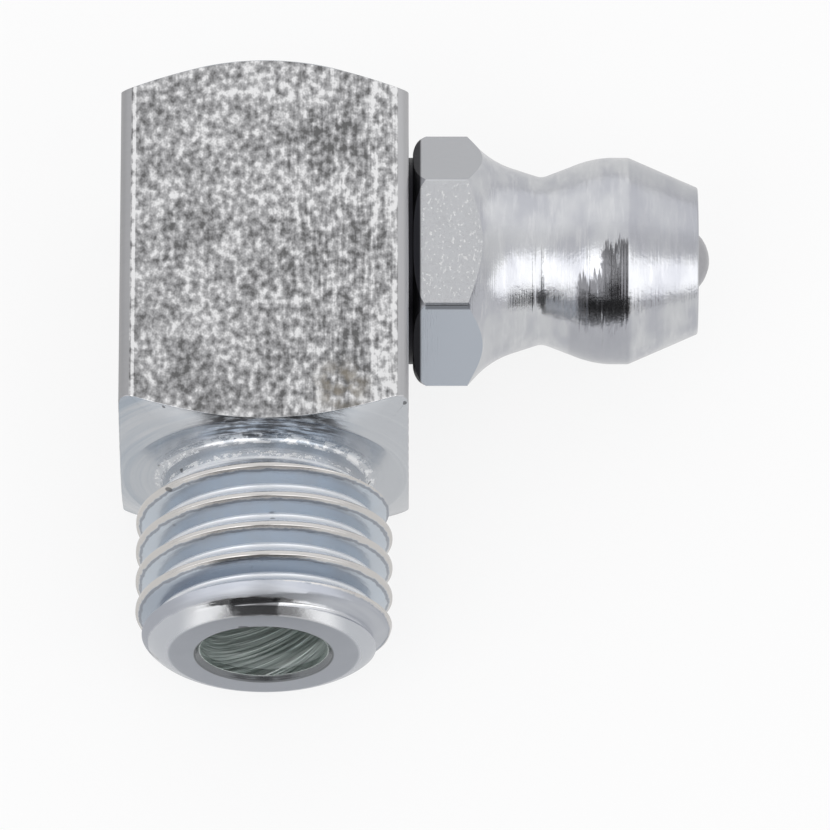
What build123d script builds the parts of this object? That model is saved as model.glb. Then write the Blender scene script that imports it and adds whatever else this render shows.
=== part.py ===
from build123d import *
import os
from math import cos, radians, sin, sqrt, tan

# Right-angle hydraulic grease nipple with an M8 x 1 stem, in millimetres.
# Everything is modelled standing on the stem axis, with the head towards +X, and the whole
# fitting is laid on the back of its square body at the end. The origin is on the stem axis,
# in the plane of the shoulder that seats on the machine.

# Square body, turned from drawn bar
body_across = 9.0
body_height = 12.4
bar_corner_radius = 0.45
top_flat_diameter = 8.8
top_chamfer_angle = 30.0
shoulder_flat_diameter = 8.8
shoulder_chamfer_angle = 25.0

# Threaded stem, M8 x 1 right hand
stem_length = 6.0
thread_diameter = 8.0
thread_pitch = 1.0
thread_flank_angle = 30.0
thread_crest_flat = 0.125
thread_root_flat = 0.17
groove_overrun = 0.2
groove_lead_in = 0.56
neck_diameter = 6.4
neck_length = 0.75
thread_start_angle = 32.0
stem_end_flat_diameter = 5.7
stem_end_round_length = 1.05
stem_end_round_radius = 1.5
stem_end_round_facets = 3

# Grease way through the stem
stem_bore_diameter = 4.0
stem_bore_depth = 10.4
stem_bore_mouth_chamfer = 0.17
drill_point_half_angle = 59.0

# Cross hole that takes the head
head_height = 7.52
head_hole_diameter = 6.0
head_hole_depth = 4.0
chamber_diameter = 5.0
chamber_depth = 6.2
shank_clearance = 0.02

# Head: shank, hexagon, waisted neck and coupling head, measured from its seat on the body
shank_length = 3.4
shank_end_chamfer = 0.4
collar_diameter = 6.5
collar_length = 0.13
hex_across = 6.9
hex_turn = 15.5
hex_start = 0.55
hex_edge_radius = 0.8
hex_edge_facets = 2
hex_end = 1.84
flare_radius = 2.7
flare_end = 3.25
waist_position = 4.17
waist_diameter = 5.23
waist_cone_angle = 18.0
shoulder_cone_angle = 20.5
shoulder_cone_length = 0.95
coupling_diameter = 6.5
coupling_start = 6.33
coupling_end = 6.9
tip_cone_angle = 23.3
tip_position = 9.09

# Valve inside the head
ball_diameter = 2.38
ball_stand_out = 0.37
ball_seat_clearance = 0.02
seat_half_angle = 36.0
mouth_length = 0.06
valve_bore_diameter = 2.9
valve_bore_end = 4.4
passage_diameter = 2.0
spring_wire_diameter = 0.3
spring_wire_sides = 6
spring_mean_diameter = 2.1
spring_pitch = 0.9
spring_end_clearance = 0.03

seat_x = body_across / 2
ball_centre = tip_position + ball_stand_out - ball_diameter / 2


def turned(points):
    """Solid of revolution about Z from (radius, height) points, closed in order."""
    outline = Polyline(*points, close=True)
    return revolve(Plane.XZ * make_face(outline), Axis.Z)


def faceted(arc, facets):
    """Straight chords along an arc, so that a rounded edge turns into a few plain cones."""
    return Polyline(*[arc @ (step / facets) for step in range(facets + 1)])


def drilled(diameter, depth):
    """Drilled hole that opens at the origin and runs up Z, with the drill's own point."""
    radius = diameter / 2
    point = radius / tan(radians(drill_point_half_angle))
    return turned([(0, 0), (radius, 0), (radius, depth), (0, depth + point)])


def square_body():
    """Bar section with rounded corners, its ends turned to flat discs and shallow cones."""
    section = RectangleRounded(body_across, body_across, bar_corner_radius)
    bar = extrude(section, body_height)
    reach = body_across * sqrt(2) / 2 + 1
    top = top_flat_diameter / 2
    foot = shoulder_flat_diameter / 2
    foot_rise = (reach - foot) * tan(radians(shoulder_chamfer_angle))
    top_drop = (reach - top) * tan(radians(top_chamfer_angle))
    envelope = turned(
        [
            (0, 0),
            (foot, 0),
            (reach, foot_rise),
            (reach, body_height - top_drop),
            (top, body_height),
            (0, body_height),
        ]
    )
    return bar & envelope


def stem_blank():
    """Stem before threading: relief neck, thread diameter and the rounded end."""
    crest = thread_diameter / 2
    neck = neck_diameter / 2
    end = stem_end_flat_diameter / 2
    overlap = neck_length / 4
    start = neck_length + (crest - neck) / tan(radians(90 - thread_start_angle))
    round_start = stem_end_round_length - stem_length
    side = Polyline(
        (0, overlap),
        (neck, overlap),
        (neck, -neck_length),
        (crest, -start),
        (crest, round_start),
    )
    end_arc = RadiusArc((crest, round_start), (end, -stem_length), stem_end_round_radius)
    end_round = faceted(end_arc, stem_end_round_facets)
    closing = Polyline((end, -stem_length), (0, -stem_length), (0, overlap))
    return revolve(Plane.XZ * make_face(side + end_round + closing), Axis.Z)


def thread_groove():
    """60 degree groove with a flat root, swept up a right-hand helix and open at both its ends."""
    slope = tan(radians(thread_flank_angle))
    crest = thread_diameter / 2
    groove_half = (thread_pitch - thread_crest_flat) / 2
    root_half = thread_root_flat / 2
    root = crest - (groove_half - root_half) / slope

    # The section runs on past the crest, so that its flanks cross the stem's surface
    flank_top = crest + thread_pitch * groove_overrun / 4
    mouth = crest + thread_pitch * groove_overrun
    mouth_half = groove_half + (flank_top - crest) * slope
    groove_section = Polyline(
        (root, -root_half),
        (flank_top, -mouth_half),
        (mouth, -mouth_half),
        (mouth, mouth_half),
        (flank_top, mouth_half),
        (root, root_half),
        close=True,
    )
    start = Pos(0, 0, -stem_length - groove_lead_in)
    path = start * Helix(thread_pitch, stem_length, crest)
    section = start * (Plane.XZ * make_face(groove_section))
    return sweep(section, path, is_frenet=True)


def elbow_body():
    """Square body and threaded stem in one piece, with the stem bore and the head's hole."""
    solid = square_body() + stem_blank()
    solid -= thread_groove()
    solid -= Pos(0, 0, -stem_length) * drilled(stem_bore_diameter, stem_bore_depth)
    mouth = stem_bore_diameter / 2 + stem_bore_mouth_chamfer
    mouth_chamfer = turned([(0, 0), (mouth, 0), (0, mouth)])
    solid -= Pos(0, 0, -stem_length) * mouth_chamfer
    inward = Pos(seat_x, 0, head_height) * Rot(0, -90, 0)
    hole = Cylinder(head_hole_diameter / 2, head_hole_depth, align=(Align.CENTER, Align.CENTER, Align.MIN))
    solid -= inward * hole
    solid -= inward * drilled(chamber_diameter, chamber_depth)
    return solid


def nipple_head():
    """Turned head with its hexagon, and the bore that holds the spring and the ball."""
    shank = head_hole_diameter / 2 - shank_clearance
    collar = collar_diameter / 2
    corner = hex_across / sqrt(3)
    waist = waist_diameter / 2
    flare_foot = waist + (waist_position - flare_end) * tan(radians(waist_cone_angle))
    coupling = coupling_diameter / 2
    cone_end = waist_position + shoulder_cone_length
    cone_radius = waist + shoulder_cone_length * tan(radians(shoulder_cone_angle))
    tip = coupling - (tip_position - coupling_end) * tan(radians(tip_cone_angle))

    # Seat cone that the ball's sphere, grown by its clearance, would just touch
    contact = ball_diameter / 2 + ball_seat_clearance
    apex = ball_centre + contact / sin(radians(seat_half_angle))
    seat_slope = tan(radians(seat_half_angle))
    mouth_back = tip_position - mouth_length
    mouth = (apex - mouth_back) * seat_slope
    bore = valve_bore_diameter / 2
    seat_foot = apex - bore / seat_slope
    passage = passage_diameter / 2
    bore_point = valve_bore_end - (bore - passage) / tan(radians(drill_point_half_angle))

    outside = Polyline(
        (-shank_length, passage),
        (-shank_length, shank - shank_end_chamfer),
        (shank_end_chamfer - shank_length, shank),
        (0, shank),
        (0, collar),
        (collar_length, collar),
    )
    hex_arc = RadiusArc((collar_length, collar), (hex_start, corner), hex_edge_radius)
    hex_edge = faceted(hex_arc, hex_edge_facets)
    hex_side = Line((hex_start, corner), (hex_end, corner))
    flare = RadiusArc((hex_end, corner), (flare_end, flare_foot), -flare_radius)
    waist_lines = Polyline((flare_end, flare_foot), (waist_position, waist), (cone_end, cone_radius))
    cone_direction = (cos(radians(shoulder_cone_angle)), sin(radians(shoulder_cone_angle)))
    crown = TangentArc((cone_end, cone_radius), (coupling_start, coupling), tangent=cone_direction)
    front = Polyline(
        (coupling_start, coupling),
        (coupling_end, coupling),
        (tip_position, tip),
        (tip_position, mouth),
        (mouth_back, mouth),
        (seat_foot, bore),
        (valve_bore_end, bore),
        (bore_point, passage),
        (-shank_length, passage),
    )
    section = make_face(outside + hex_edge + hex_side + flare + waist_lines + crown + front)
    blank = revolve(Plane.XZ * section, Axis.X)

    # The hexagon's first corner stands off the stem axis by its turn, towards the front
    hexagon = extrude(Plane.YZ * (Rot(0, 0, 90 + hex_turn) * RegularPolygon(corner, 6)), waist_position)
    round_stock = extrude(Plane.YZ * Circle(corner + 1), waist_position)
    head = blank - (round_stock - hexagon)
    return Pos(seat_x, 0, head_height) * head


def check_ball():
    return Pos(seat_x + ball_centre, 0, head_height) * Sphere(ball_diameter / 2)


def ball_spring():
    """Compression spring between the valve bore's drilled floor and the back of the ball."""
    wire = spring_wire_diameter / 2
    mean = spring_mean_diameter / 2
    stand_off = wire + spring_end_clearance

    # The wire rests on the floor's cone at the back, and against the ball's sphere in front
    point = radians(drill_point_half_angle)
    bore = valve_bore_diameter / 2
    back = valve_bore_end + (stand_off - (bore - mean) * cos(point)) / sin(point)
    front = ball_centre - sqrt((ball_diameter / 2 + stand_off) ** 2 - mean ** 2)
    path = Helix(spring_pitch, front - back, mean)
    section = Pos(mean, 0, 0) * (Plane.XZ * RegularPolygon(wire, spring_wire_sides))
    coil = sweep(section, path, is_frenet=True)
    return Pos(seat_x + back, 0, head_height) * Rot(0, 90, 0) * coil


laid = Rot(-90, 0, 0)
parts = {
    "elbow_body": elbow_body(),
    "nipple_head": nipple_head(),
    "check_ball": check_ball(),
    "ball_spring": ball_spring(),
}
os.makedirs("parts", exist_ok=True)
for name, solid in parts.items():
    export_step(laid * solid, f"parts/{name}.step")
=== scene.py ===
from math import acos, cos, hypot, pi, radians, sin, sqrt, tan

import bpy
from mathutils import Matrix, Vector


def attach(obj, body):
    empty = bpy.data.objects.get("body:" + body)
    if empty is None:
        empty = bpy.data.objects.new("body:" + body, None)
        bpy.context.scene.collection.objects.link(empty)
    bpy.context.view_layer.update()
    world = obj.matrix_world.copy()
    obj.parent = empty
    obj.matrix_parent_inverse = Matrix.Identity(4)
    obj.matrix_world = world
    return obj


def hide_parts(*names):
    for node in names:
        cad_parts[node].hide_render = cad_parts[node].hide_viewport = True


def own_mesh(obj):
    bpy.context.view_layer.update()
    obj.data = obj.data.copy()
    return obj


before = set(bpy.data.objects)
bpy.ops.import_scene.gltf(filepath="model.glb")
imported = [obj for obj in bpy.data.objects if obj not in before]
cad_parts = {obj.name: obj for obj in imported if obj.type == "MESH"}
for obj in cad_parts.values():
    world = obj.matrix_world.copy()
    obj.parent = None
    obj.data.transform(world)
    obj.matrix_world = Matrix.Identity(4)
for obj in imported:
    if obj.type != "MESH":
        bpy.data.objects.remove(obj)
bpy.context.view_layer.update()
print("frame loaded")

# Pieces are modelled in millimetres with the stem upright and the head towards +X,
# then laid on the body's back and brought to metres.
millimetre = 0.001
seamGap = 0.0004  # vertices closer than this are one, where a turned shape meets itself
speckSize = 0.0015  # the same, for what a boolean leaves behind


def deselectAll():
    if bpy.context.object and bpy.context.object.mode != 'OBJECT':
        bpy.ops.object.mode_set(mode='OBJECT')
    bpy.ops.object.select_all(action='DESELECT')


def pick(piece):
    deselectAll()
    piece.select_set(True)
    bpy.context.view_layer.objects.active = piece


def settle():
    bpy.ops.object.transform_apply(location=True, rotation=True, scale=True)


def apply(piece, kind, **settings):
    pick(piece)
    modifier = piece.modifiers.new(kind.lower(), kind)
    for name, value in settings.items():
        setattr(modifier, name, value)
    bpy.ops.object.modifier_apply(modifier=modifier.name)


def carve(piece, cutter, operation='DIFFERENCE'):
    apply(piece, 'BOOLEAN', object=cutter, operation=operation, solver='EXACT')
    bpy.data.objects.remove(cutter, do_unlink=True)


def chain(name, points, closed=False):
    # one vertex, extruded from point to point in the XZ plane
    deselectAll()
    bpy.ops.mesh.primitive_plane_add(size=1, location=(0, 0, 0))
    line = bpy.context.object
    line.name = name
    bpy.ops.object.mode_set(mode='EDIT')
    bpy.ops.mesh.select_mode(type='VERT')
    bpy.ops.mesh.select_all(action='SELECT')
    bpy.ops.mesh.merge(type='CENTER')
    bpy.ops.transform.translate(value=(points[0][0], 0, points[0][1]))
    for (x0, z0), (x1, z1) in zip(points, points[1:]):
        bpy.ops.mesh.extrude_region_move(TRANSFORM_OT_translate={"value": (x1 - x0, 0, z1 - z0)})
    if closed:
        bpy.ops.object.mode_set(mode='OBJECT')
        ends = (0, len(line.data.vertices) - 1)
        for spot, vertex in enumerate(line.data.vertices):
            vertex.select = spot in ends
        bpy.ops.object.mode_set(mode='EDIT')
        bpy.ops.mesh.select_mode(type='VERT')
        bpy.ops.mesh.edge_face_add()
    return line


def selectEdges(piece, wanted):
    # leaves the piece in edit mode with only the wanted edges selected
    pick(piece)
    bpy.ops.object.mode_set(mode='EDIT')
    bpy.ops.mesh.select_mode(type='EDGE')
    bpy.ops.mesh.select_all(action='DESELECT')
    bpy.ops.object.mode_set(mode='OBJECT')
    for edge in piece.data.edges:
        a, b = (piece.data.vertices[v].co for v in edge.vertices)
        edge.select = wanted(a, b)
    bpy.ops.object.mode_set(mode='EDIT')


def tidyMesh():
    bpy.ops.mesh.select_all(action='SELECT')
    bpy.ops.mesh.remove_doubles(threshold=seamGap)
    bpy.ops.mesh.normals_make_consistent(inside=False)
    bpy.ops.object.mode_set(mode='OBJECT')


def mend(piece):
    # specks that booleans leave: merged, dissolved, and their holes closed
    pick(piece)
    bpy.ops.object.mode_set(mode='EDIT')
    bpy.ops.mesh.select_mode(type='VERT')
    bpy.ops.mesh.select_all(action='SELECT')
    bpy.ops.mesh.remove_doubles(threshold=speckSize)
    bpy.ops.mesh.dissolve_degenerate(threshold=speckSize)
    bpy.ops.mesh.select_all(action='DESELECT')
    bpy.ops.mesh.select_non_manifold()
    bpy.ops.mesh.fill_holes(sides=0)
    bpy.ops.mesh.select_all(action='SELECT')
    bpy.ops.mesh.delete_loose()
    bpy.ops.mesh.select_all(action='SELECT')
    bpy.ops.mesh.normals_make_consistent(inside=False)
    bpy.ops.object.mode_set(mode='OBJECT')


def lathe(name, profile, steps):
    turned = chain(name, profile)
    bpy.ops.mesh.select_all(action='SELECT')
    bpy.ops.mesh.spin(steps=steps, angle=2 * pi, center=(0, 0, 0), axis=(0, 0, 1))
    tidyMesh()
    return turned


def wind(piece, turn, rise, repeats, steps):
    # sweeps a closed section up a helix and closes its two ends
    apply(piece, 'SCREW', axis='Z', angle=turn, screw_offset=rise, iterations=repeats,
          steps=steps, render_steps=steps, use_merge_vertices=False)
    bpy.ops.object.mode_set(mode='EDIT')
    bpy.ops.mesh.select_mode(type='EDGE')
    bpy.ops.mesh.select_all(action='DESELECT')
    bpy.ops.mesh.select_non_manifold()
    bpy.ops.mesh.fill_holes(sides=0)
    tidyMesh()


def arc(start, end, radius, count):
    # points of a circle from start to end, bulging to the left of the way when radius is positive
    (x0, y0), (x1, y1) = start, end
    halfChord = hypot(x1 - x0, y1 - y0) / 2
    reach = sqrt(radius * radius - halfChord * halfChord)
    side = 1 if radius > 0 else -1
    ux, uy = (x1 - x0) / halfChord / 2, (y1 - y0) / halfChord / 2
    cx = (x0 + x1) / 2 + uy * reach * side
    cy = (y0 + y1) / 2 - ux * reach * side
    half = acos(reach / abs(radius))
    points = []
    for step in range(count + 1):
        turn = -side * 2 * half * step / count
        dx, dy = x0 - cx, y0 - cy
        points.append((cx + dx * cos(turn) - dy * sin(turn), cy + dx * sin(turn) + dy * cos(turn)))
    return points


def lay(piece, body, node, smoothAngle):
    # from millimetres upright to metres lying on the back
    pick(piece)
    piece.matrix_world = Matrix.Rotation(-pi / 2, 4, 'X') @ Matrix.Scale(millimetre, 4)
    settle()
    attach(piece, body)
    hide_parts(node)
    pick(piece)
    bpy.ops.object.shade_smooth_by_angle(angle=radians(smoothAngle))


# Square body and threaded stem
bodySizes = {
    "across": 9.0,
    "height": 12.4,
    "barSpare": 2.0,
    "cornerRadius": 0.45,
    "cornerSteps": 8,
    "flatRadius": 4.4,
    "topAngle": 30.0,
    "footAngle": 25.0,
    "edgeRounding": 0.03,
    "edgeSteps": 3,
    "sharpAngle": 20.0,
    "neckRadius": 3.2,
    "neckLength": 0.75,
    "neckFillet": 0.2,
    "filletSteps": 5,
    "stemOverlap": 0.4,
    "threadStartAngle": 32.0,
    "crestRadius": 4.0,
    "pitch": 1.0,
    "flankAngle": 30.0,
    "crestFlat": 0.125,
    "rootRounding": 0.11,
    "rootTurns": (8, 22, 36, 48, 60),
    "crestRounding": 0.06,
    "crestTurns": (60, 45, 30, 15, 4),
    "grooveLips": ((0.012, 0.004), (0.25, 0.008)),
    "leadIn": 0.56,
    "stemLength": 6.0,
    "endRoundLength": 1.05,
    "endRoundRadius": 1.5,
    "endRoundSteps": 14,
    "endFlatRadius": 2.85,
    "boreRadius": 2.0,
    "boreDepth": 10.4,
    "boreMouth": 0.17,
    "drillPoint": 59.0,
    "drillSpare": 1.0,
    "headHeight": 7.52,
    "headHoleRadius": 3.0,
    "headHoleDepth": 4.0,
    "chamberRadius": 2.5,
    "chamberDepth": 6.2,
    "turns": 160,
    "boreTurns": 96,
    "smoothAngle": 28.0,
}


def squareBlock(s):
    half = s["across"] / 2
    reach = s["across"]
    deselectAll()
    bpy.ops.mesh.primitive_cube_add(size=1, location=(0, 0, s["height"] / 2))
    block = bpy.context.object
    block.name = "elbow_body_piece"
    # the bar is longer than the body, so that the turning alone shapes its ends
    block.scale = (s["across"], s["across"], s["height"] + s["barSpare"])
    settle()
    selectEdges(block, lambda a, b: abs(a.z - b.z) > half)
    bpy.ops.mesh.bevel(offset=s["cornerRadius"], segments=s["cornerSteps"])
    bpy.ops.object.mode_set(mode='OBJECT')

    footRise = (reach - s["flatRadius"]) * tan(radians(s["footAngle"]))
    topDrop = (reach - s["flatRadius"]) * tan(radians(s["topAngle"]))
    envelope = lathe("turning", [
        (0, 0),
        (s["flatRadius"], 0),
        (reach, footRise),
        (reach, s["height"] - topDrop),
        (s["flatRadius"], s["height"]),
        (0, s["height"]),
    ], s["turns"])
    carve(block, envelope, 'INTERSECT')
    apply(block, 'BEVEL', width=s["edgeRounding"], segments=s["edgeSteps"], limit_method='ANGLE',
          angle_limit=radians(s["sharpAngle"]), use_clamp_overlap=False, harden_normals=False)
    return block


def stemBlank(s):
    crest, neck, fillet = s["crestRadius"], s["neckRadius"], s["neckFillet"]
    start = s["neckLength"] + (crest - neck) / tan(radians(90 - s["threadStartAngle"]))
    roundStart = (crest, s["endRoundLength"] - s["stemLength"])
    roundEnd = (s["endFlatRadius"], -s["stemLength"])
    profile = [(0, s["stemOverlap"]), (neck + fillet, s["stemOverlap"]), (neck + fillet, 0)]
    # a quarter circle needs a radius a hair over the fillet's
    profile += arc((neck + fillet, 0), (neck, -fillet), -fillet * 1.001, s["filletSteps"])[1:]
    profile += [(neck, -s["neckLength"]), (crest, -start)]
    profile += arc(roundStart, roundEnd, s["endRoundRadius"], s["endRoundSteps"])
    profile += [(0, -s["stemLength"])]
    return lathe("stem", profile, s["turns"])


def threadGroove(s):
    flank = radians(s["flankAngle"])
    crest = s["crestRadius"]
    mouth = (s["pitch"] - s["crestFlat"]) / 2
    lip, root = s["crestRounding"], s["rootRounding"]
    # the flank runs from the crest's rounding down to a round root
    sharpRoot = crest - mouth / tan(flank)
    rootCentre = sharpRoot + root / sin(flank)
    lipHeight = mouth + lip * tan(flank)
    lower = [(rootCentre - root * cos(turn), -root * sin(turn))
             for turn in map(radians, s["rootTurns"])]
    lower += [(crest - lip + lip * cos(turn), -(lipHeight - lip * sin(turn)))
              for turn in map(radians, s["crestTurns"])]
    lower += [(crest + out, -(lipHeight + along)) for out, along in s["grooveLips"]]
    section = lower + [(r, -z) for r, z in reversed(lower)]
    start = -s["stemLength"] - s["leadIn"]
    groove = chain("groove", [(r, z + start) for r, z in section], closed=True)
    wind(groove, 2 * pi, s["pitch"], int(s["stemLength"]), s["turns"])
    return groove


def drill(name, radius, depth, tip, s):
    # a hole that opens at the origin and runs up Z, with a point of the tip's length
    profile = [(0, -s["drillSpare"]), (radius, -s["drillSpare"]), (radius, depth), (0, depth + tip)]
    return lathe(name, profile, s["boreTurns"])


def elbowBody(s):
    body = squareBlock(s)
    print("block shaped", len(body.data.polygons))
    stem = stemBlank(s)
    carve(stem, threadGroove(s))
    print("thread cut", len(stem.data.polygons))
    carve(body, stem, 'UNION')
    print("stem joined", len(body.data.polygons))
    pointSlope = tan(radians(s["drillPoint"]))
    bore = lathe("bore", [
        (0, -s["drillSpare"]),
        (s["boreRadius"] + s["boreMouth"] + s["drillSpare"], -s["drillSpare"]),
        (s["boreRadius"], s["boreMouth"]),
        (s["boreRadius"], s["boreDepth"]),
        (0, s["boreDepth"] + s["boreRadius"] / pointSlope),
    ], s["boreTurns"])
    bore.location = (0, 0, -s["stemLength"])
    carve(body, bore)
    inward = (Matrix.Translation((s["across"] / 2, 0, s["headHeight"]))
              @ Matrix.Rotation(-pi / 2, 4, 'Y'))
    hole = drill("hole", s["headHoleRadius"], s["headHoleDepth"], 0, s)
    hole.matrix_world = inward
    carve(body, hole)
    chamber = drill("chamber", s["chamberRadius"], s["chamberDepth"],
                    s["chamberRadius"] / pointSlope, s)
    chamber.matrix_world = inward
    carve(body, chamber)
    mend(body)
    print("bores drilled", len(body.data.polygons))
    lay(body, "fitting", "elbow_body", s["smoothAngle"])
    return body


body = elbowBody(bodySizes)

# Head with its hexagon and coupling, measured from its seat on the body
headSizes = {
    "seat": bodySizes["across"] / 2,
    "height": bodySizes["headHeight"],
    "passageRadius": 1.0,
    "shankRadius": 2.98,
    "shankLength": 3.4,
    "shankChamfer": 0.4,
    "collarRadius": 3.25,
    "collarLength": 0.13,
    "hexAcross": 6.9,
    "hexTurn": 15.5,
    "hexStart": 0.55,
    "hexEdgeRadius": 0.8,
    "hexEdgeSteps": 10,
    "hexEnd": 1.84,
    "hexRounding": 0.05,
    "hexRoundingSteps": 3,
    "hexEdgeLength": 0.8,
    "hexEdgeInset": 0.03,
    "flareRadius": 2.7,
    "flareEnd": 3.25,
    "flareSteps": 22,
    "waist": 4.17,
    "waistRadius": 2.615,
    "waistAngle": 18.0,
    "waistRise": 0.05,
    "waistHalf": 0.15,
    "waistRounding": 0.5,
    "waistSteps": 4,
    "shoulderAngle": 20.5,
    "shoulderLength": 0.95,
    "crownRadius": 3.4,
    "crownSteps": 14,
    "couplingRadius": 3.25,
    "couplingStart": 6.33,
    "couplingEnd": 6.9,
    "landHalf": 0.05,
    "landDrop": 0.02,
    "landRounding": 0.26,
    "landSteps": 3,
    "tipAngle": 23.3,
    "tip": 9.09,
    "tipRim": (0.02, 0.06, 0.05),
    "tipRounding": 0.08,
    "tipSteps": 4,
    "mouthRadius": 0.9435,
    "mouthLength": 0.06,
    "seatAngle": 36.0,
    "valveRadius": 1.45,
    "valveEnd": 4.4,
    "drillPoint": 59.0,
    "turns": 256,
    "stockSpare": 1.0,
    "stockTurns": 128,
    "smoothAngle": 12.0,
}


def headProfile(s, corner):
    waist, coupling = s["waistRadius"], s["couplingRadius"]
    flareFoot = waist + (s["waist"] - s["flareEnd"]) * tan(radians(s["waistAngle"]))
    coneEnd = s["waist"] + s["shoulderLength"]
    coneRadius = waist + s["shoulderLength"] * tan(radians(s["shoulderAngle"]))
    tipRadius = coupling - (s["tip"] - s["couplingEnd"]) * tan(radians(s["tipAngle"]))
    mouthBack = s["tip"] - s["mouthLength"]
    seatFoot = mouthBack - (s["valveRadius"] - s["mouthRadius"]) / tan(radians(s["seatAngle"]))
    pointLength = (s["valveRadius"] - s["passageRadius"]) / tan(radians(s["drillPoint"]))
    outside = [
        (s["passageRadius"], -s["shankLength"]),
        (s["shankRadius"] - s["shankChamfer"], -s["shankLength"]),
        (s["shankRadius"], s["shankChamfer"] - s["shankLength"]),
        (s["shankRadius"], 0),
        (s["collarRadius"], 0),
    ]
    outside += arc((s["collarRadius"], s["collarLength"]), (corner, s["hexStart"]),
                   -s["hexEdgeRadius"], s["hexEdgeSteps"])
    outside += arc((corner, s["hexEnd"]), (flareFoot, s["flareEnd"]),
                   s["flareRadius"], s["flareSteps"])
    waistRim = waist + s["waistRise"]
    outside += arc((waistRim, s["waist"] - s["waistHalf"]), (waistRim, s["waist"] + s["waistHalf"]),
                   s["waistRounding"], s["waistSteps"])
    outside += arc((coneRadius, coneEnd), (coupling, s["couplingStart"]),
                   -s["crownRadius"], s["crownSteps"])
    outside += arc((coupling, s["couplingEnd"] - s["landHalf"]),
                   (coupling - s["landDrop"], s["couplingEnd"] + s["landHalf"]),
                   -s["landRounding"], s["landSteps"])
    rimOut, rimBack, rimIn = s["tipRim"]
    outside += arc((tipRadius + rimOut, s["tip"] - rimBack), (tipRadius - rimIn, s["tip"]),
                   -s["tipRounding"], s["tipSteps"])
    inside = [
        (s["mouthRadius"], s["tip"]),
        (s["mouthRadius"], mouthBack),
        (s["valveRadius"], seatFoot),
        (s["valveRadius"], s["valveEnd"]),
        (s["passageRadius"], s["valveEnd"] - pointLength),
        (s["passageRadius"], -s["shankLength"]),
    ]
    return outside + inside


def nippleHead(s):
    corner = s["hexAcross"] / sqrt(3)
    head = lathe("nipple_head_piece", headProfile(s, corner), s["turns"])

    # round stock less a hexagon takes away what stands out of the flats
    middle = (0, 0, s["waist"] / 2)
    deselectAll()
    bpy.ops.mesh.primitive_cylinder_add(vertices=s["stockTurns"], radius=corner + s["stockSpare"],
                                        depth=s["waist"], location=middle)
    stock = bpy.context.object
    deselectAll()
    bpy.ops.mesh.primitive_cylinder_add(vertices=6, radius=corner, depth=s["waist"] * 2,
                                        location=middle)
    hexagon = bpy.context.object
    hexagon.rotation_euler = (0, 0, radians(s["hexTurn"] + 30))
    settle()
    carve(stock, hexagon)
    carve(head, stock)
    mend(head)

    # the six long edges of the hexagon are broken a little
    outermost = corner - s["hexEdgeInset"]
    selectEdges(head, lambda a, b: abs(a.z - b.z) > s["hexEdgeLength"]
                and min(hypot(a.x, a.y), hypot(b.x, b.y)) > outermost)
    bpy.ops.mesh.bevel(offset=s["hexRounding"], segments=s["hexRoundingSteps"])
    bpy.ops.object.mode_set(mode='OBJECT')
    mend(head)
    print("hexagon cut", len(head.data.polygons))

    # the head's own axis is Z so far: it goes along X, with the hexagon's first corner upright
    pick(head)
    head.matrix_world = (Matrix.Translation((s["seat"], 0, s["height"]))
                         @ Matrix.Rotation(pi / 2, 4, 'Y') @ Matrix.Rotation(pi, 4, 'Z'))
    settle()
    lay(head, "fitting", "nipple_head", s["smoothAngle"])
    return head


head = nippleHead(headSizes)

# Coil spring behind the ball, which in use shortens as the ball is pushed in
springSizes = {
    "wireRadius": 0.15,
    "wireSides": 14,
    "meanRadius": 1.05,
    "start": 8.87,
    "length": 3.02,
    "turns": 3.356,
    "ballTravel": 0.8,
    "steps": 96,
    "height": bodySizes["headHeight"],
    "smoothAngle": 40.0,
}


def ballSpring(s):
    deselectAll()
    bpy.ops.mesh.primitive_circle_add(vertices=s["wireSides"], radius=s["wireRadius"],
                                      location=(s["meanRadius"], 0, 0), rotation=(pi / 2, 0, 0))
    spring = bpy.context.object
    spring.name = "ball_spring_piece"
    settle()
    wind(spring, 2 * pi * s["turns"], s["length"], 1, s["steps"])
    spring.matrix_world = (Matrix.Translation((s["start"], 0, s["height"]))
                           @ Matrix.Rotation(pi / 2, 4, 'Y'))
    settle()
    lay(spring, "fitting", "ball_spring", s["smoothAngle"])
    fixedEnd = s["start"] - s["wireRadius"]
    overall = s["length"] + 2 * s["wireRadius"]
    fixedEnd / 1000
    s["height"] / 1000
    (overall - s["ballTravel"]) / overall
    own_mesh(spring)
    return spring


spring = ballSpring(springSizes)
print("spring wound")


# Shader tools: maths on sockets, and one method for every node
class Wire:
    def __init__(self, sheet, socket):
        self.sheet = sheet
        self.socket = socket

    def maths(self, operation, *values, clamp=False):
        settings = {"operation": operation, "use_clamp": clamp}
        return self.sheet.node("Math", settings, dict(enumerate(values)))

    def __add__(self, other):
        return self.maths('ADD', self, other)

    __radd__ = __add__

    def __sub__(self, other):
        return self.maths('SUBTRACT', self, other)

    def __rsub__(self, other):
        return self.maths('SUBTRACT', other, self)

    def __mul__(self, other):
        return self.maths('MULTIPLY', self, other)

    __rmul__ = __mul__

    def __abs__(self):
        return self.maths('ABSOLUTE', self)

    def least(self, other):
        return self.maths('MINIMUM', self, other)

    def most(self, other):
        return self.maths('MAXIMUM', self, other)

    def root(self):
        return self.maths('SQRT', self)

    def angle(self, other):
        return self.maths('ARCTAN2', self, other)

    def clamped(self):
        return self.maths('ADD', self, 0.0, clamp=True)

    def step(self, low, high, out=(0.0, 1.0)):
        # smooth rise between low and high
        return self.sheet.node("MapRange", {"interpolation_type": 'SMOOTHSTEP'}, {
            "Value": self, "From Min": low, "From Max": high, "To Min": out[0], "To Max": out[1]})

    def drop(self, low, high):
        return self.step(low, high, (1.0, 0.0))

    def band(self, low, high, soft):
        return self.step(low - soft, low) * self.drop(high, high + soft)


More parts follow.
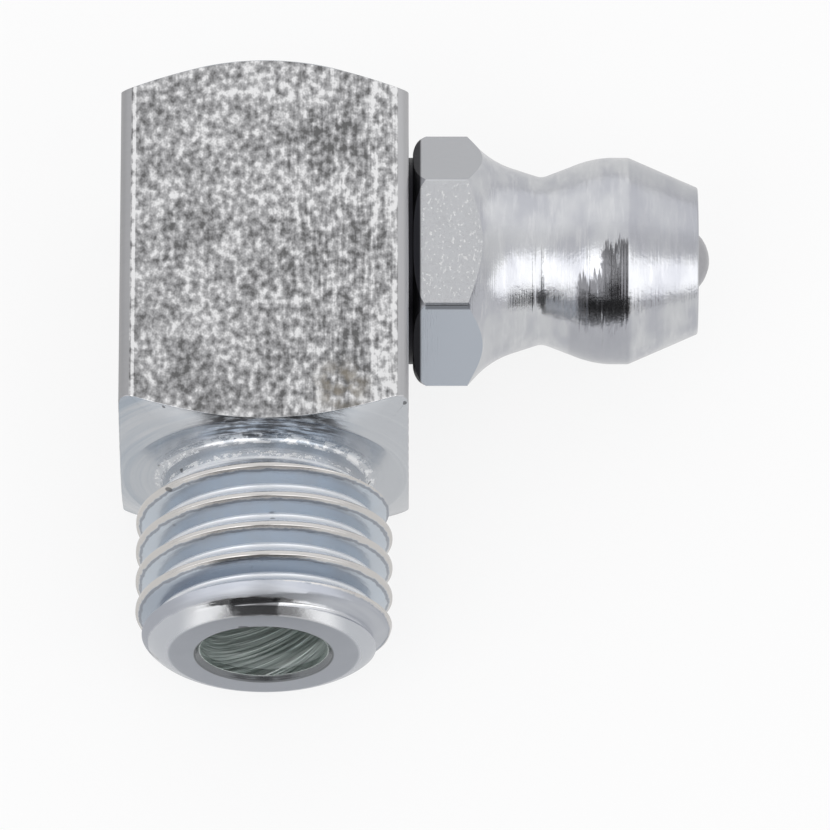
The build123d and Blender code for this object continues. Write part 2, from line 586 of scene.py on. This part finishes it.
class Sheet:
    def __init__(self, tree):
        self.tree = tree

    def node(self, kind, settings=None, sockets=None, output=0):
        made = self.tree.nodes.new("ShaderNode" + kind)
        for name, value in (settings or {}).items():
            if name == "stops":
                ramp = made.color_ramp
                while len(ramp.elements) < len(value):
                    ramp.elements.new(0.5)
                for element, (spot, tone) in zip(ramp.elements, value):
                    element.position = spot
                    element.color = (*tone, 1)
            else:
                setattr(made, name, value)
        for name, value in (sockets or {}).items():
            self.plug(made.inputs[name], value)
        if isinstance(output, tuple):
            return tuple(Wire(self, made.outputs[spot]) for spot in output)
        return Wire(self, made.outputs[output])

    def plug(self, socket, value):
        if isinstance(value, Wire):
            self.tree.links.new(value.socket, socket)
        elif isinstance(value, tuple) and len(value) == 3 and socket.type == 'RGBA':
            socket.default_value = (*value, 1.0)
        else:
            socket.default_value = value

    def join(self, x, y, z=0.0):
        return self.node("CombineXYZ", None, {"X": x, "Y": y, "Z": z})

    def noise(self, vector, scale, detail, rough):
        return self.node("TexNoise", {"noise_dimensions": '3D'}, {
            "Vector": vector, "Scale": scale, "Detail": detail, "Roughness": rough})

    def blend(self, factor, a, b):
        return self.node("Mix", {"data_type": 'RGBA', "blend_type": 'MIX'},
                         {0: factor, 6: a, 7: b}, 2)

    def bump(self, height, distance, normal=None):
        sockets = {"Height": height, "Distance": distance, "Strength": 1.0}
        if normal:
            sockets["Normal"] = normal
        return self.node("Bump", None, sockets)

    def spot(self, x, y, centre, reach, soft):
        # round patch, 1 in its middle and 0 outside
        dx, dy = x - centre[0], y - centre[1]
        return (dx * dx + dy * dy).root().drop(reach - soft, reach + soft)


def newMetal(name):
    material = bpy.data.materials.new(name)
    material.use_nodes = True
    made = Sheet(material.node_tree)
    shader = material.node_tree.nodes["Principled BSDF"]
    spot = made.node("TexCoord", None, None, "Object")
    place = made.node("VectorMath", {"operation": 'SCALE'},
                      {"Vector": spot, "Scale": 1 / millimetre})
    x, y, z = made.node("SeparateXYZ", None, {0: place}, (0, 1, 2))
    return material, made, shader.inputs, place, x, y, z


# Bright zinc on the drawn bar and on what was turned from it. Noises are given as scale,
# detail and roughness, and zones as where they start and end, in millimetres.
bodyFinish = {
    "zinc": (0.60, 0.62, 0.65),
    "blueZinc": (0.44, 0.49, 0.55),
    "ringLight": (0.78, 0.80, 0.82),
    "stripZinc": (0.40, 0.40, 0.41),
    "stripPale": (0.47, 0.47, 0.48),
    "stripLitRight": (0.56, 0.56, 0.57),
    "crestZinc": (0.70, 0.68, 0.66),
    "crestEdgeReflection": (0.20, 0.21, 0.24),
    "flankZinc": (0.60, 0.66, 0.73),
    "lastFlankShade": (0.40, 0.45, 0.52),
    "rootHighlight": (0.86, 0.88, 0.91),
    "satinZinc": (0.46, 0.48, 0.53),
    "satinPale": (0.56, 0.58, 0.62),
    "endHighlight": (0.86, 0.87, 0.89),
    "endSide": (0.60, 0.62, 0.66),
    "endDarkReflection": (0.19, 0.19, 0.20),
    "ringZinc": (0.45, 0.47, 0.51),
    "mouthShade": (0.22, 0.23, 0.24),
    "boreZinc": (0.58, 0.64, 0.62),
    "boreGlint": (0.85, 0.90, 0.88),
    "darkReflectionAndPits": (0.075, 0.075, 0.08),
    "glint": (0.95, 0.96, 0.97),
    "stain": (0.30, 0.27, 0.22),
    "stainPlace": (2.4, 1.1),
    "stainReach": 0.75,
    "stainSoft": 0.45,
    "grainStops": [(0.0, (0.15, 0.15, 0.15)), (0.36, (0.33, 0.33, 0.335)),
                   (0.64, (0.51, 0.51, 0.515)), (1.0, (0.88, 0.88, 0.88))],
    "grain": (4.4, 2.0, 0.6),
    "grainContrast": 2.5,
    "grainMiddle": 0.53,
    "cloud": (0.55, 2.0, 0.55),
    # place on the front flat, reach and strength of each darker or lighter cloud
    "blotches": [(-2.3, 6.6, 0.9, 0.20), (1.8, 9.6, 0.9, 0.22), (2.85, 9.4, 0.7, 0.16),
                 (2.7, 6.0, 0.7, 0.12), (2.7, 3.8, 0.8, 0.14), (-3.4, 3.9, 0.9, 0.12),
                 (-2.2, 1.8, 0.8, 0.12), (-0.9, 1.1, 0.6, 0.12), (0.0, 11.6, 0.9, -0.10),
                 (-1.2, 8.4, 1.1, -0.08), (-1.3, 3.0, 0.8, -0.06)],
    "blotchSoft": 0.6,
    "leftHighlight": (-4.10, -4.03, 0.03),
    "rightHighlight": (3.52, 4.12, 0.04),
    "rightHighlightLines": ((3.36, 3.50, 0.05), (4.02, 4.12, 0.04)),
    "rings": (8.0, 3.0, 0.62),
    "patch": (0.8, 3.0, 0.6),
    "mottle": (1.3, 3.0, 0.6),
    "flatZone": (4.484, 4.496),
    "cornerAxis": 4.05,
    "cornerZone": (0.41, 0.435),
    "cornerStart": (4.03, 4.05),
    "frontZone": (4.40, 4.46),
    "edgeStrip": (4.14, 4.19),
    "sideStrip": (3.5, 3.7),
    "threadTop": (-0.70, -0.62),
    "lastFlank": (-4.72, -4.5),
    "crestEdgeZone": (3.83, 3.88),
    "crestZone": (3.88, 3.93),
    "rootZone": (3.39, 3.43),
    "satinTop": (-5.22, -5.16),
    "polishTop": (-5.64, -5.58),
    "polishFoot": (-5.97, -5.95),
    "ringTop": (-5.985, -5.965),
    "mouthZone": (2.16, 2.2),
    "boreZone": (2.0, 2.03),
    "boreTop": (4.6, 5.0),
    "middleZone": (0.70, 0.95),
    "middleBand": (-5.96, -5.64, 0.03),
    "darkReflectionAcross": (-1.3, 1.9, 0.9),
    "darkReflectionFront": (2.9, 3.4),
    "darkReflectionBand": (-0.04, 0.6, 0.05),
    "glintRadius": (3.19, 3.42, 0.03),
    "glintBand": (-0.22, 0.02, 0.02),
    "lowGlintRadius": (3.18, 3.30, 0.03),
    "lowGlintBand": (-0.78, -0.52, 0.05),
    "grainDepth": 0.000012,
    "ringDepth": 0.000005,
    "swirlStrength": 16.0,
    "metallic": 0.92,
    "roughness": 0.22,
}


def platedBody(s):
    material, made, shader, place, x, y, z = newMetal("plated_body_zinc")
    wide, deep = abs(x), abs(z)
    radius = (x * x + z * z).root()
    edge = wide.least(deep)
    outX, outZ = wide - s["cornerAxis"], deep - s["cornerAxis"]
    rounding = (outX * outX + outZ * outZ).root().step(*s["cornerZone"])
    flat = wide.most(deep).step(*s["flatZone"]).most(rounding * edge.step(*s["cornerStart"]))
    front = (deep - wide).step(-0.02, 0.02)
    across = x * front + z * (1 - front)
    strip = edge.step(*s["edgeStrip"]).most((1 - front) * deep.step(*s["sideStrip"]))
    onFront = z.step(*s["frontZone"])

    # coarse sparkling grain of the drawn flats, with streaks along the bar
    grain = made.noise(made.join(x, y * 0.82, z), *s["grain"])
    cloud = made.noise(place, *s["cloud"])
    streak = made.noise(made.join(across * 3.4, y * 0.3, front * 7.0), 1.0, 2.0, 0.6)
    fineStreak = made.noise(made.join(across * 9.0, y * 1.3, front * 7.0), 1.0, 1.0, 0.5)
    rightSide = across.step(-1.0, 2.0) * 0.7
    shade = (grain - 0.5) * s["grainContrast"] + s["grainMiddle"] + (cloud - 0.5) * 0.8
    shade = shade + (streak - 0.5) * (rightSide + 0.4) + (fineStreak - 0.5) * (rightSide + 0.2)
    for px, py, reach, strength in s["blotches"]:
        blotch = made.spot(across, y, (px, py), reach, s["blotchSoft"])
        shade = shade - blotch * onFront * strength

    # painted highlights beside the rounded corners: a bright line on the left, and a streaky bright
    # strip and lines on the right
    paintedReflection = made.noise(made.join(across * 7.0, y * 2.2, front * 3.0), 1.0, 2.0, 0.6)
    leftHighlight = across.band(*s["leftHighlight"])
    rightHighlight = across.band(*s["rightHighlight"])
    innerLine, outerLine = (across.band(*zone) for zone in s["rightHighlightLines"])
    rightHighlightLines = innerLine.most(outerLine)
    shade = shade + leftHighlight * 0.55 + rightHighlight * 0.10 + rightHighlightLines * (paintedReflection - 0.25) * 0.9
    grainColour = made.node("ValToRGB", {"stops": s["grainStops"]}, {"Fac": shade.clamped()})
    stained = made.spot(across, y, s["stainPlace"], s["stainReach"], s["stainSoft"]) * onFront
    stained = stained * made.noise(made.join(across, y), 1.8, 2.0, 0.6).step(0.35, 0.65)
    grainColour = made.blend(stained * 0.75, grainColour, s["stain"])

    # turned surfaces: lines round the stem's axis and cloudy blue and grey plating; lighter and
    # greyer towards +X, which is painted light
    rings = made.noise(made.join(radius, y), *s["rings"])
    patch = made.noise(made.join(radius * 2.0, y * 2.0, x * 0.25), *s["patch"])
    mottle = made.noise(place, *s["mottle"])
    plateCloudsAndLitSide = (patch.step(0.35, 0.68) + x.step(1.6, 3.4)).clamped()
    turned = made.blend(plateCloudsAndLitSide, s["blueZinc"], s["zinc"])
    turned = made.blend((rings - 0.5).clamped() * 0.9, turned, s["ringLight"])

    # thread: blue flanks, lighter beige crests, a painted dark reflection along each crest's edge,
    # a painted highlight on the roots, and painted shade on the last flank
    below = y.drop(*s["threadTop"])
    ragged = radius + (made.noise(place, 3.0, 3.0, 0.7) - 0.5) * 0.16
    root = radius.drop(*s["rootZone"]) * below
    thread = made.blend(mottle.step(0.3, 0.7) * 0.4, s["flankZinc"], s["zinc"])
    thread = made.blend(y.drop(*s["lastFlank"]) * 0.8, thread, s["lastFlankShade"])
    thread = made.blend(ragged.band(*s["crestEdgeZone"], 0.03) * 0.6, thread, s["crestEdgeReflection"])
    thread = made.blend(ragged.step(*s["crestZone"]), thread, s["crestZinc"])
    thread = made.blend(root, thread, s["rootHighlight"])
    turned = made.blend(below, turned, thread)

    # rounded end: a satin band, a polished one with painted highlights at the front and a painted
    # dark reflection in its middle, and the flat ring
    endWave = y + (made.noise(place, 1.6, 2.0, 0.6) - 0.5) * 0.08
    polishStart = endWave.drop(*s["polishTop"])
    satin = made.blend(patch.step(0.4, 0.6), s["satinZinc"], s["satinPale"])
    turned = made.blend(endWave.drop(*s["satinTop"]), turned, satin)
    nearFront = wide.drop(1.9, 2.7) * z.step(1.0, 2.0)
    turned = made.blend(polishStart, turned, made.blend(nearFront, s["endSide"], s["endHighlight"]))
    middle = abs(x + (mottle - 0.5) * 1.4 + 0.2).drop(*s["middleZone"])
    middle = middle * z.step(2.0, 2.4) * endWave.band(*s["middleBand"])
    turned = made.blend(middle * 0.9, turned, s["endDarkReflection"])
    turned = made.blend(y.drop(*s["ringTop"]), turned, s["ringZinc"])

    # the bore: painted shade on the mouth's chamfer, and swirls that the drill left, whose lighter
    # streaks are painted glints
    mouth = radius.drop(*s["mouthZone"]) * y.drop(0.0, 0.5)
    turned = made.blend(mouth, turned, s["mouthShade"])
    inBore = radius.drop(*s["boreZone"]) * y.drop(*s["boreTop"])
    swirl = made.noise(made.join(y * 2.0 - x * 0.9, radius, z * 0.2), 1.7, 3.0, 0.7)
    boreTone = made.blend(swirl.step(0.42, 0.6), s["boreZinc"], s["boreGlint"])
    turned = made.blend(inBore, turned, boreTone)

    # a painted dark reflection on the shoulder in front of the neck, painted glints round the neck,
    # and a few dark pits
    reflectionBreakup = made.noise(made.join(x * 1.4, radius * 5.0, z), 1.1, 3.0, 0.65)
    darkReflectionAndPits = x.band(*s["darkReflectionAcross"]) * z.step(*s["darkReflectionFront"]) * y.band(*s["darkReflectionBand"])
    turned = made.blend(darkReflectionAndPits * reflectionBreakup.step(0.36, 0.60) * 0.95, turned, s["darkReflectionAndPits"])
    glint = radius.band(*s["glintRadius"]) * y.band(*s["glintBand"])
    flecks = made.noise(made.join(x * 1.6, y * 3.0, z * 1.6), 1.3, 3.0, 0.65)
    lowGlint = radius.band(*s["lowGlintRadius"]) * y.band(*s["lowGlintBand"])
    lowFlecks = made.noise(made.join(x * 2.4, y * 4.0, z * 2.4), 1.5, 3.0, 0.7)
    glint = (glint * flecks.step(0.45, 0.58)).most(lowGlint * lowFlecks.step(0.52, 0.60))
    turned = made.blend(glint, turned, s["glint"])
    pits = made.noise(place, 1.7, 1.0, 0.5).step(0.755, 0.775)
    turned = made.blend(pits * 0.7, turned, s["darkReflectionAndPits"])

    # the rounded corner strips: ring-like tones, and painted light making the +X side lighter
    plain = made.blend((rings - 0.5) * 0.6 + 0.3, s["stripZinc"], s["stripPale"])
    plain = made.blend(x.step(0.0, 2.0) * 0.7, plain, s["stripLitRight"])
    colour = made.blend(flat, turned, made.blend(strip, grainColour, plain))
    made.plug(shader["Base Color"], colour)
    shader["Metallic"].default_value = s["metallic"]
    polish = polishStart * y.step(*s["polishFoot"])
    satinBand = (y.step(-5.2, -5.1, (1.0, 0.0)) - polish).clamped()
    rough = s["roughness"] + satinBand * 0.16 + flat * 0.14 + (mottle - 0.5) * 0.16
    made.plug(shader["Roughness"], rough - polish * 0.12 + root.most(glint) * 0.14)
    cut = 1 - flat
    lines = rings * cut * (1 - inBore) + swirl * inBore * s["swirlStrength"]
    grained = grain * (flat * (1 - strip)) + mottle * cut * 0.8
    lineBump = made.bump(lines, s["ringDepth"])
    made.plug(shader["Normal"], made.bump(grained, s["grainDepth"], lineBump))
    return material


# Bright zinc on the turned head. Places along it are measured from the stem's axis, and
# heights from the head's own axis.
headFinish = {
    "height": bodySizes["headHeight"],
    "zinc": (0.68, 0.69, 0.71),
    "lilacZinc": (0.55, 0.56, 0.60),
    "hexZinc": (0.67, 0.68, 0.70),
    "hexLowBlueShade": (0.52, 0.56, 0.62),
    "hexTopShade": (0.50, 0.51, 0.535),
    "hexEdgeReflection": (0.16, 0.17, 0.19),
    "paintedDarkReflection": (0.15, 0.15, 0.16),
    "darkerZinc": (0.45, 0.46, 0.50),
    "glint": (0.95, 0.95, 0.95),
    "gapShade": (0.025, 0.025, 0.03),
    "rings": (15.0, 3.0, 0.7),
    "broad": (0.9, 2.0, 0.5),
    "ringStreaks": (1.0, 3.0, 0.65),
    "dents": (2.9, 5.0, 0.7),
    "sparkle": (13.0, 1.0, 0.5),
    "flatTurns": (44.5, -15.5, -75.5),
    "flatZone": (3.43, 3.446),
    "hexLow": (-2.88, -2.80),
    "hexHigh": (0.97, 1.03),
    "lowEdgeUp": (-2.88, -2.78, 0.03),
    "lowEdgeAlong": (5.05, 6.42, 0.05),
    "landReflection": (10.55, 11.50, 0.08),
    "landEnd": (11.34, 11.40),
    "landLevel": (-2.75, -1.05, 0.25),
    "crownReflection": (9.85, 10.65, 0.16),
    "crownLevel": (-2.65, -1.85, 0.25),
    "gapShadeZone": (4.84, 4.92),
    "ringDepth": 0.000006,
    "ridges": (8.42, 10.12, 10.59, 11.22),
    "ridgeDepth": 0.000007,
    "dentDepth": 0.000012,
    "metallic": 0.94,
    "roughness": 0.125,
}


def platedHead(s):
    material, made, shader, place, x, y, z = newMetal("plated_head_zinc")
    up = y - s["height"]
    radius = (up * up + z * z).root()
    facing = z.step(0.0, 0.2)
    rings = made.noise(made.join(x, radius * 0.4), *s["rings"])
    broad = made.noise(made.join(x * 1.3, up * 0.7, z * 0.7), *s["broad"])
    ringStreaks = made.noise(made.join(x * 6.0, up * 0.9, z * 0.9), *s["ringStreaks"])
    dents = made.noise(place, *s["dents"])
    colour = made.blend(broad.step(0.32, 0.68), s["lilacZinc"], s["zinc"])
    # painted highlight streaks round the head, along its lathe lines
    colour = made.blend((ringStreaks - 0.5).clamped() * 1.1, colour, s["glint"])

    # the hexagon's flats: duller, the low flat painted bluer and darker and the top flat darker as
    # painted shade, with painted glints, and a painted dark reflection along the lower edge
    flats = [abs(up * sin(turn) + z * cos(turn)) for turn in map(radians, s["flatTurns"])]
    hexagon = flats[0].most(flats[1]).most(flats[2]).step(*s["flatZone"])
    hexTone = made.blend(up.step(*s["hexLow"]), s["hexLowBlueShade"], s["hexZinc"])
    hexTone = made.blend(up.step(*s["hexHigh"]), hexTone, s["hexTopShade"])
    colour = made.blend(hexagon, colour, hexTone)
    sparkle = made.noise(made.join(x, y * 0.6, z), *s["sparkle"]).step(0.58, 0.72)
    colour = made.blend(hexagon * sparkle * up.band(-2.5, 0.8, 0.2) * 0.75, colour, s["glint"])
    lowEdge = up.band(*s["lowEdgeUp"]) * x.band(*s["lowEdgeAlong"]) * radius.step(3.85, 3.9)
    colour = made.blend(lowEdge * facing * 0.85, colour, s["hexEdgeReflection"])

    # painted dark reflection: ragged dark bands on the upper side of the land and of the crown
    # before it, towards the stem
    wavyX = x + (dents - 0.5) * 0.35
    wander = made.noise(made.join(x * 9.0, up * 0.8, z * 0.8), 1.0, 3.0, 0.7)
    level = up + (wander - 0.5) * 1.6
    paintedReflection = wavyX.band(*s["landReflection"]) * x.drop(*s["landEnd"]) * level.band(*s["landLevel"])
    paintedReflection = paintedReflection.most(wavyX.band(*s["crownReflection"]) * level.band(*s["crownLevel"]))
    paintedReflection = paintedReflection * facing * (ringStreaks.step(0.30, 0.46) * 0.6 + 0.4)
    colour = made.blend(paintedReflection * 0.92, colour, s["paintedDarkReflection"])
    # darker on the crown and land low towards the stem, and over the tip except low towards the
    # stem
    darkerLow = x.band(9.6, 11.35, 0.2) * up.drop(-2.85, -2.55) * 0.75
    darkerTip = x.step(11.35, 11.45) * up.step(-1.2, -0.6) * 0.45
    colour = made.blend(darkerLow.most(darkerTip), colour, s["darkerZinc"])
    # painted shade in the narrow gap between the body and the hexagon
    gapShade = x.drop(*s["gapShadeZone"])
    colour = made.blend(gapShade, colour, s["gapShade"])
    made.plug(shader["Base Color"], colour)
    shader["Metallic"].default_value = s["metallic"]
    rough = s["roughness"] + (broad - 0.5) * 0.10 + hexagon * 0.08 + gapShade * 0.3
    made.plug(shader["Roughness"], rough)
    tool = rings * s["ringDepth"]
    for spot in s["ridges"]:
        tool = tool + x.band(spot - 0.02, spot + 0.02, 0.05) * s["ridgeDepth"]
    made.plug(shader["Normal"], made.bump(dents, s["dentDepth"], made.bump(tool, 1.0)))
    return material


# Plain steel of the ball and of the spring's wire
ballFinish = {
    "name": "ball_polished_steel",
    "pattern": (3.0, 3.0, 0.6),
    "tones": ((0.50, 0.50, 0.52), (0.42, 0.42, 0.44)),
    "roughness": 0.16,
    "roughnessSpread": 0.12,
    "depth": 0.000002,
}
springFinish = {
    "name": "spring_drawn_wire",
    "pattern": (8.0, 2.0, 0.6),
    "tones": ((0.42, 0.42, 0.43), (0.55, 0.55, 0.56)),
    "roughness": 0.3,
    "roughnessSpread": 0.15,
    "depth": 0.000002,
}


def plainSteel(s):
    material, made, shader, place = newMetal(s["name"])[:4]
    pattern = made.noise(place, *s["pattern"])
    made.plug(shader["Base Color"], made.blend(pattern, *s["tones"]))
    shader["Metallic"].default_value = 1.0
    made.plug(shader["Roughness"], s["roughness"] + pattern * s["roughnessSpread"])
    made.plug(shader["Normal"], made.bump(pattern, s["depth"]))
    return material


def dress(piece, material):
    if piece.material_slots:
        for slot in piece.material_slots:
            slot.material = material
    else:
        piece.data.materials.append(material)


dress(body, platedBody(bodyFinish))
dress(head, platedHead(headFinish))
dress(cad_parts["check_ball"], plainSteel(ballFinish))
dress(spring, plainSteel(springFinish))
print("finishes made")


# Camera: the photograph's own angle to the object, 65.4 degrees above the floor
cameraSizes = {
    "distance": 0.42,
    "tilt": 24.62,
    "lens": 581.7,
    "sensor": 36.0,
    "aim": (0.0047, 0.002188),
    "clip": (0.01, 20),
}


def placeCamera(s):
    camera = bpy.data.objects.new("camera", bpy.data.cameras.new("camera"))
    bpy.context.scene.collection.objects.link(camera)
    tilt = radians(s["tilt"])
    aimX, aimY = s["aim"]
    camera.data.sensor_width = s["sensor"]
    camera.data.lens = s["lens"]
    camera.data.clip_start, camera.data.clip_end = s["clip"]
    camera.rotation_euler = (tilt, 0, 0)
    camera.location = (aimX, aimY - s["distance"] * sin(tilt), s["distance"] * cos(tilt))
    bpy.context.scene.camera = camera


placeCamera(cameraSizes)

# Pale floor, in metres, and a soft studio round it, in degrees above the floor or to the side
studio = {
    "floorHeight": -0.0045,
    "floorSize": 3.0,
    "floorColour": (0.95, 0.95, 0.95),
    "floorPale": (0.97, 0.97, 0.97),
    "floorRoughness": 0.9,
    "floorSheen": 0.1,
    "floorGlow": 0.84,
    "mirrorGlow": 0.93,
    "floorInMetal": 0.76,
    "floorWhite": 0.99,
    "stemEnd": 0.006,
    "patchSpread": 0.34,
    "patchReach": (-1.2, -0.0135),
    "patchDepth": 0.96,
    "sheetSpread": 0.75,
    "sheetReach": (-0.09, -0.012),
    "zenith": 0.78,
    "behind": 0.92,
    "side": 0.66,
    "frontLow": 0.58,
    "windowLight": 1.5,
    "windowHeight": (24.0, 68.0),
    "windowSide": (66.0, 72.0),
    "tallHeight": (8.0, 68.0),
    "tallSide": (42.0, 66.0),
    "windowSoft": 4.0,
    "darkSpot": 0.03,
    "slitHeight": (8.0, 84.0),
    "slitSide": (9.0, 13.0),
    "underHeight": (-6.0, 20.0),
    "underSide": (30.0, 35.0),
    "underSoft": 3.0,
    "keyPlace": (-0.10, -0.30, 0.42),
    "keySize": (0.3, 0.2),
    "keyEnergy": 0.12,
}


def layFloor(s):
    deselectAll()
    bpy.ops.mesh.primitive_plane_add(size=s["floorSize"], location=(0, 0, s["floorHeight"]))
    floor = bpy.context.object
    floor.name = "floor"
    material = bpy.data.materials.new("pale_floor")
    material.use_nodes = True
    made = Sheet(material.node_tree)
    shader = material.node_tree.nodes["Principled BSDF"]
    spot = made.node("TexCoord", None, None, "Object")
    tone = made.noise(spot, 60.0, 2.0, 0.5)
    made.plug(shader.inputs["Base Color"], made.blend(tone, s["floorColour"], s["floorPale"]))
    shader.inputs["Roughness"].default_value = s["floorRoughness"]
    shader.inputs["Specular IOR Level"].default_value = s["floorSheen"]

    # Seen straight, the floor is nearly white and keeps a soft shadow. In the metal it is greyer,
    # with a white sheet before the stem that a dark patch divides.
    x, y = made.node("SeparateXYZ", None, {0: spot}, (0, 1))
    ahead = y * -1.0 - s["stemEnd"]
    aside = abs(x)
    patch = (aside - ahead * s["patchSpread"]).drop(-0.001, 0.001)
    patch = patch * y.band(*s["patchReach"], 0.002)
    sheet = (aside - ahead * s["sheetSpread"]).drop(-0.002, 0.002)
    sheet = sheet * y.band(*s["sheetReach"], 0.003)
    mirrored = sheet * (1 - s["floorInMetal"]) + s["floorInMetal"]
    mirrored = mirrored * (1 - patch * s["patchDepth"])
    camera, glossy = made.node("LightPath", None, None, (0, 3))
    white = glossy * (mirrored - s["floorWhite"]) + s["floorWhite"]
    glow = made.node("Emission", None, {"Color": made.join(white, white, white), "Strength": 1.0})
    lit = Wire(made, shader.outputs["BSDF"])
    share = camera * s["floorGlow"] + glossy * s["mirrorGlow"]
    seen = made.node("MixShader", None, {0: share, 1: lit, 2: glow})
    made.plug(material.node_tree.nodes["Material Output"].inputs["Surface"], seen)
    floor.data.materials.append(material)


def lightStudio(s):
    world = bpy.data.worlds.new("studio")
    bpy.context.scene.world = world
    world.use_nodes = True
    tree = world.node_tree
    made = Sheet(tree)
    spot = made.node("TexCoord", None, None, "Generated")
    x, y, z = made.node("SeparateXYZ", None, {0: spot}, (0, 1, 2))
    degrees = 180 / pi
    height = z.maths('ARCSINE', z) * degrees
    turn = abs(x.angle(y * -1.0) * degrees)
    ahead = (y * -1.0).step(-0.2, 0.6)

    # pale room: lighter behind the object, plain overhead, grey low in front
    room = height.step(-5.0, 75.0, (s["side"], s["zenith"]))
    behind = y.step(0.05, 0.5) * height.band(12.0, 75.0, 12.0)
    room = room * (1 - behind) + behind * s["behind"]
    low = ahead * height.drop(6.0, 26.0)
    room = room * (1 - low) + low * s["frontLow"]

    # windows in front, with a dark place for the camera between and below them
    window = height.band(*s["windowHeight"], s["windowSoft"]) * turn.drop(*s["windowSide"])
    tall = height.band(*s["tallHeight"], s["windowSoft"])
    window = window.most(tall * turn.band(*s["tallSide"], s["windowSoft"]))
    glow = room * (1 - window) + window * s["windowLight"]
    slit = height.band(*s["slitHeight"], s["windowSoft"]) * turn.drop(*s["slitSide"])
    under = height.band(*s["underHeight"], s["underSoft"]) * turn.drop(*s["underSide"])
    dark = slit.most(under)
    glow = glow * (1 - dark) + dark * s["darkSpot"]
    background = tree.nodes["Background"]
    made.plug(background.inputs["Color"], made.join(glow, glow, glow * 1.01))
    background.inputs["Strength"].default_value = 1.0

    deselectAll()
    bpy.ops.object.light_add(type='AREA', location=s["keyPlace"])
    key = bpy.context.object
    key.name = "key_light"
    key.data.shape = 'RECTANGLE'
    key.data.size, key.data.size_y = s["keySize"]
    key.data.energy = s["keyEnergy"]
    key.rotation_euler = (-Vector(s["keyPlace"])).to_track_quat('-Z', 'Y').to_euler()


layFloor(studio)
lightStudio(studio)
bpy.context.scene.view_settings.view_transform = 'Standard'
print("studio lit")
